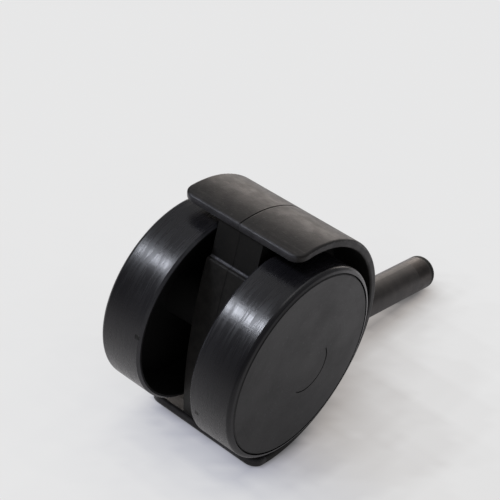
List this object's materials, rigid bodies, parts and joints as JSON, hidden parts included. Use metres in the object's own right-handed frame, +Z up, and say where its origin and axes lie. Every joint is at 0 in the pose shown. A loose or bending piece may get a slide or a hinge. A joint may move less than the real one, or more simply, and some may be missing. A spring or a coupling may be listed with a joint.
{
  "type": "chair caster wheel",
  "caption": "Twin-wheel furniture caster with a curved hood over both wheels, a swivelling housing and a plain round grip stem.",
  "frame": {"origin": "on the stem axis, on the stem's shoulder where a chair leg's socket comes to rest", "axes": "+Z up along the stem, Y along the wheel axle, +X from the stem towards the axle and the open front of the hood"},
  "size_m": [0.0616, 0.0402, 0.1124],
  "materials": {
    "housing_nylon": "fine moulded grain, low sheen",
    "wheel_nylon": "glossy moulded, fine scuffs along the tread",
    "cover_nylon": "satin moulded",
    "stem_steel": "black-brown satin plating",
    "spring_steel": "dark oiled spring steel",
    "washer_steel": "bright rolled steel",
    "axle_steel": "ground steel",
    "bush_acetal": "turned acetal",
    "washer_acetal": "black acetal"
  },
  "bodies": {
    "stem": {"stem": "stem_steel", "stem_grip_ring": "spring_steel", "stem_retaining_ring": "spring_steel"},
    "housing": {"housing": "housing_nylon", "swivel_bush": "bush_acetal", "thrust_washer": "washer_steel", "axle": "axle_steel", "axle_washer_left": "washer_acetal", "axle_washer_right": "washer_acetal", "axle_clip_left": "spring_steel", "axle_clip_right": "spring_steel"},
    "wheel_left": {"wheel_left": "wheel_nylon", "wheel_cover_left": "cover_nylon", "hub_bush_left": "bush_acetal"},
    "wheel_right": {"wheel_right": "wheel_nylon", "wheel_cover_right": "cover_nylon", "hub_bush_right": "bush_acetal"}
  },
  "joints": [
    {"name": "swivel", "type": "hinge", "parent": "stem", "child": "housing", "pos_m": [0, 0, 0], "axis": [0, 0, 1], "continuous": true},
    {"name": "wheel_left_spin", "type": "hinge", "parent": "housing", "child": "wheel_left", "pos_m": [0.0142, 0, -0.0366], "axis": [0, 1, 0], "continuous": true},
    {"name": "wheel_right_spin", "type": "hinge", "parent": "housing", "child": "wheel_right", "pos_m": [0.0142, 0, -0.0366], "axis": [0, 1, 0], "continuous": true}
  ]
}
